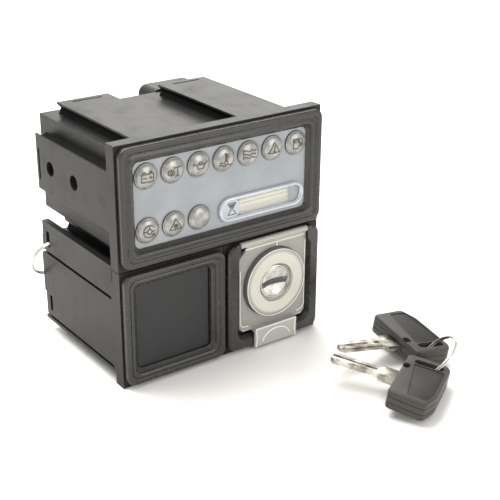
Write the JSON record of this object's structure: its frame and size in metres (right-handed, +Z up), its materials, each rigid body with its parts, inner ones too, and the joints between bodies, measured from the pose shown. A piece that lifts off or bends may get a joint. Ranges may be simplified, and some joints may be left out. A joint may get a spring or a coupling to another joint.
{
  "type": "modular engine instrument and key switch panel",
  "caption": "Modular black panel with warning lamps and an hour counter over a blank module and a capped key switch, with keys on a ring.",
  "frame": {"origin": "on the plane the panel stands on, at the underside of the bottom joining strip, on the seam between the two lower modules and 38 mm behind the front of the flanges", "axes": "+X to the right seen from the front, +Y to the rear, +Z up"},
  "size_m": [0.1414, 0.1839, 0.108],
  "materials": {
    "housing_black": "fine spark texture, satin",
    "bezel_black": "satin",
    "plate_grey": "satin printed film",
    "lens_grey": "glossy smoked lens",
    "clear_plastic": "clear",
    "rim_grey": "gloss",
    "counter_cream": "matt",
    "white_plastic": "satin",
    "cap_milky": "milky, translucent",
    "board_green": "solder mask",
    "lock_steel": "turned",
    "ring_steel": "polished wire",
    "key_steel": "nickel plated",
    "terminal_brass": "tinned",
    "gasket_rubber": "matt",
    "key_black": "fine texture"
  },
  "bodies": {
    "panel": {"top_housing": "housing_black", "blank_housing": "housing_black", "switch_housing": "housing_black", "blank_panel": "housing_black", "switch_plate": "housing_black", "rear_connector": "housing_black", "connector_hood": "housing_black", "contact_block": "housing_black", "switch_rear_cover": "housing_black", "joining_strip_bottom": "housing_black", "joining_strip_middle": "housing_black", "top_bezel": "bezel_black", "blank_bezel": "bezel_black", "switch_bezel": "bezel_black", "face_plate": "plate_grey", "lamp_lens_1": "lens_grey", "lamp_lens_2": "lens_grey", "lamp_lens_3": "lens_grey", "lamp_lens_4": "lens_grey", "lamp_lens_5": "lens_grey", "lamp_lens_6": "lens_grey", "lamp_lens_7": "lens_grey", "lamp_lens_8": "lens_grey", "lamp_lens_9": "lens_grey", "lamp_lens_10": "lens_grey", "lamp_bulb_1": "clear_plastic", "lamp_bulb_2": "clear_plastic", "lamp_bulb_3": "clear_plastic", "lamp_bulb_4": "clear_plastic", "lamp_bulb_5": "clear_plastic", "lamp_bulb_6": "clear_plastic", "lamp_bulb_7": "clear_plastic", "lamp_bulb_8": "clear_plastic", "lamp_bulb_9": "clear_plastic", "lamp_bulb_10": "clear_plastic", "counter_window": "clear_plastic", "counter_rim": "rim_grey", "counter_display": "counter_cream", "lamp_carrier": "white_plastic", "lock_escutcheon": "white_plastic", "circuit_board": "board_green", "lock_barrel": "lock_steel", "cap_hinge_pin": "ring_steel", "lock_nut": "terminal_brass", "blade_terminal_1": "terminal_brass", "blade_terminal_2": "terminal_brass", "blade_terminal_3": "terminal_brass", "blade_terminal_4": "terminal_brass", "lock_gasket": "gasket_rubber"},
    "cap": {"flip_cap": "cap_milky", "cap_window": "clear_plastic"},
    "lock_core": {"lock_plug": "lock_steel", "contact_rotor": "white_plastic"},
    "hanging_ring": {"wire_ring": "ring_steel"},
    "key_ring": {"key_ring": "ring_steel"},
    "key_a": {"key_a_head": "key_black", "key_a_blade": "key_steel"},
    "key_b": {"key_b_head": "key_black", "key_b_blade": "key_steel"}
  },
  "joints": [
    {"name": "cap_hinge", "type": "hinge", "parent": "panel", "child": "cap", "pos_m": [0.026, -0.0397, 0.052], "axis": [-1, 0, 0], "range_deg": [0, 120]},
    {"name": "lock_turn", "type": "hinge", "parent": "panel", "child": "lock_core", "pos_m": [0.026, -0.038, 0.0306], "axis": [0, 1, 0], "range_deg": [0, 90]},
    {"name": "ring_swing", "type": "hinge", "parent": "panel", "child": "hanging_ring", "pos_m": [-0.0504, 0.0265, 0.0447], "axis": [1, 0, 0], "range_deg": [0, 25]},
    {"name": "keys_lift", "type": "slide", "parent": "panel", "child": "key_ring", "axis": [0, 0, 1], "range_m": [0, 0.05]},
    {"name": "key_a_swing", "type": "hinge", "parent": "key_ring", "child": "key_a", "pos_m": [0.0685, -0.0973, 0.008], "axis": [0, 0, 1], "range_deg": [-4, 4]},
    {"name": "key_b_swing", "type": "hinge", "parent": "key_ring", "child": "key_b", "pos_m": [0.0546, -0.1107, 0.008], "axis": [0, 0, 1], "range_deg": [-4, 4]}
  ]
}
